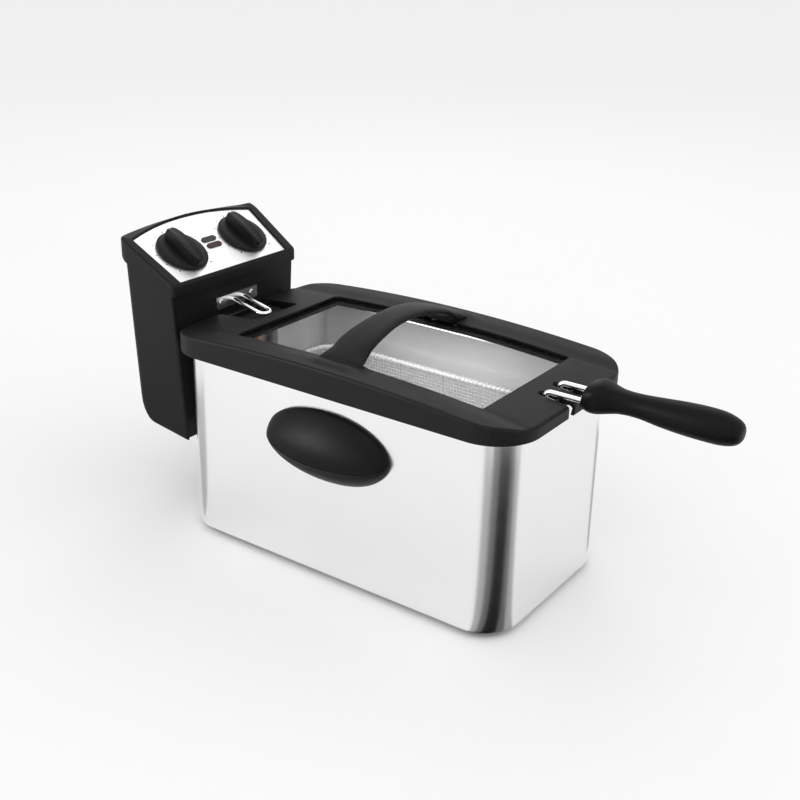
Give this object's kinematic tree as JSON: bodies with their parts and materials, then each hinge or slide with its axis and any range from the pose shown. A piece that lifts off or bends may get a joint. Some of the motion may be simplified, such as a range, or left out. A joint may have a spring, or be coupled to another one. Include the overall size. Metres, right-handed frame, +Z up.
{
  "type": "deep fryer",
  "caption": "Electric deep fryer: brushed steel housing, lift-out oil pot, control head with heating element, wire basket on a long grip and a black lid with a viewing window.",
  "frame": {"origin": "on the surface under the feet, at the middle of the overall length and width", "axes": "+X towards the basket grip, -X towards the control head, +Y towards the left side grip, +Z up"},
  "size_m": [0.549, 0.223, 0.2595],
  "materials": {
    "housing_steel": "stainless sheet brushed level",
    "pot_steel": "satin stainless",
    "wire_chrome": "bright plated wire",
    "panel_silver": "fine silver foil with dial marks",
    "bracket_steel": "bright stamped steel",
    "screw_steel": "plated screws",
    "element_steel": "heat-darkened steel tube",
    "copper": "copper sensing bulb",
    "black_plastic": "fine satin black moulding",
    "grip_plastic": "smooth satin black moulding",
    "knob_plastic": "satin black knob",
    "inner_plastic": "plain inner moulding",
    "ceramic": "white terminal block",
    "rubber": "black rubber",
    "lamp_red": "dark red lens",
    "lamp_green": "dark green lens",
    "reset_red": "red button",
    "glass": "clear pane"
  },
  "bodies": {
    "housing": {"outer_shell": "housing_steel", "base_plate": "black_plastic", "base_screws": "screw_steel", "feet": "rubber", "side_grip_right": "grip_plastic", "side_grip_left": "grip_plastic", "side_grip_screws": "screw_steel", "rear_guide": "black_plastic", "rear_guide_screws": "screw_steel"},
    "pot": {"oil_pot": "pot_steel"},
    "control_unit": {"control_case": "black_plastic", "case_front": "black_plastic", "case_screws": "screw_steel", "control_cover": "black_plastic", "control_panel": "panel_silver", "power_lamp": "lamp_red", "ready_lamp": "lamp_green", "thermostat": "inner_plastic", "timer": "screw_steel", "terminal_block": "ceramic", "thermal_cutout": "inner_plastic", "interlock_switch": "inner_plastic", "inlet_gland": "rubber", "hook_plate": "bracket_steel", "drain_hook": "wire_chrome", "hook_rivets": "bracket_steel", "heating_element": "element_steel", "element_bracket": "bracket_steel", "element_clamps": "bracket_steel", "thermostat_bulb": "copper"},
    "temperature_control": {"temperature_knob": "knob_plastic", "thermostat_spindle": "screw_steel"},
    "timer_control": {"timer_knob": "knob_plastic", "timer_spindle": "screw_steel"},
    "reset": {"reset_button": "reset_red"},
    "interlock": {"interlock_plunger": "screw_steel"},
    "basket": {"basket_mesh": "wire_chrome", "basket_rim": "wire_chrome", "basket_frame": "wire_chrome", "handle_bracket": "bracket_steel", "handle_wires": "wire_chrome", "handle_grip": "grip_plastic"},
    "lid": {"lid_shell": "black_plastic", "lid_handle": "black_plastic", "lid_handle_screws": "screw_steel", "window_pane": "glass", "window_frame": "black_plastic", "window_screws": "screw_steel"}
  },
  "joints": [
    {"name": "pot_lift", "type": "slide", "parent": "housing", "child": "pot", "axis": [0, 0, 1], "range_m": [0, 0.14]},
    {"name": "control_lift", "type": "slide", "parent": "pot", "child": "control_unit", "axis": [0, 0, 1], "range_m": [0, 0.13]},
    {"name": "basket_lift", "type": "slide", "parent": "control_unit", "child": "basket", "axis": [0, 0, 1], "range_m": [0, 0.12]},
    {"name": "lid_lift", "type": "slide", "parent": "basket", "child": "lid", "axis": [0, 0, 1], "range_m": [0, 0.11]},
    {"name": "temperature_turn", "type": "hinge", "parent": "control_unit", "child": "temperature_control", "pos_m": [-0.23175, -0.039, 0.2373], "axis": [0.512, 0, 0.859], "range_deg": [-270, 0]},
    {"name": "timer_turn", "type": "hinge", "parent": "control_unit", "child": "timer_control", "pos_m": [-0.23175, 0.039, 0.2373], "axis": [0.512, 0, 0.859], "range_deg": [-300, 0]},
    {"name": "reset_press", "type": "slide", "parent": "control_unit", "child": "reset", "axis": [1, 0, 0], "range_m": [0, 0.002], "stiffness_N_per_m": 700, "springref_m": -0.001},
    {"name": "interlock_press", "type": "slide", "parent": "control_unit", "child": "interlock", "axis": [-1, 0, 0], "range_m": [0, 0.003], "stiffness_N_per_m": 500, "springref_m": -0.001}
  ]
}
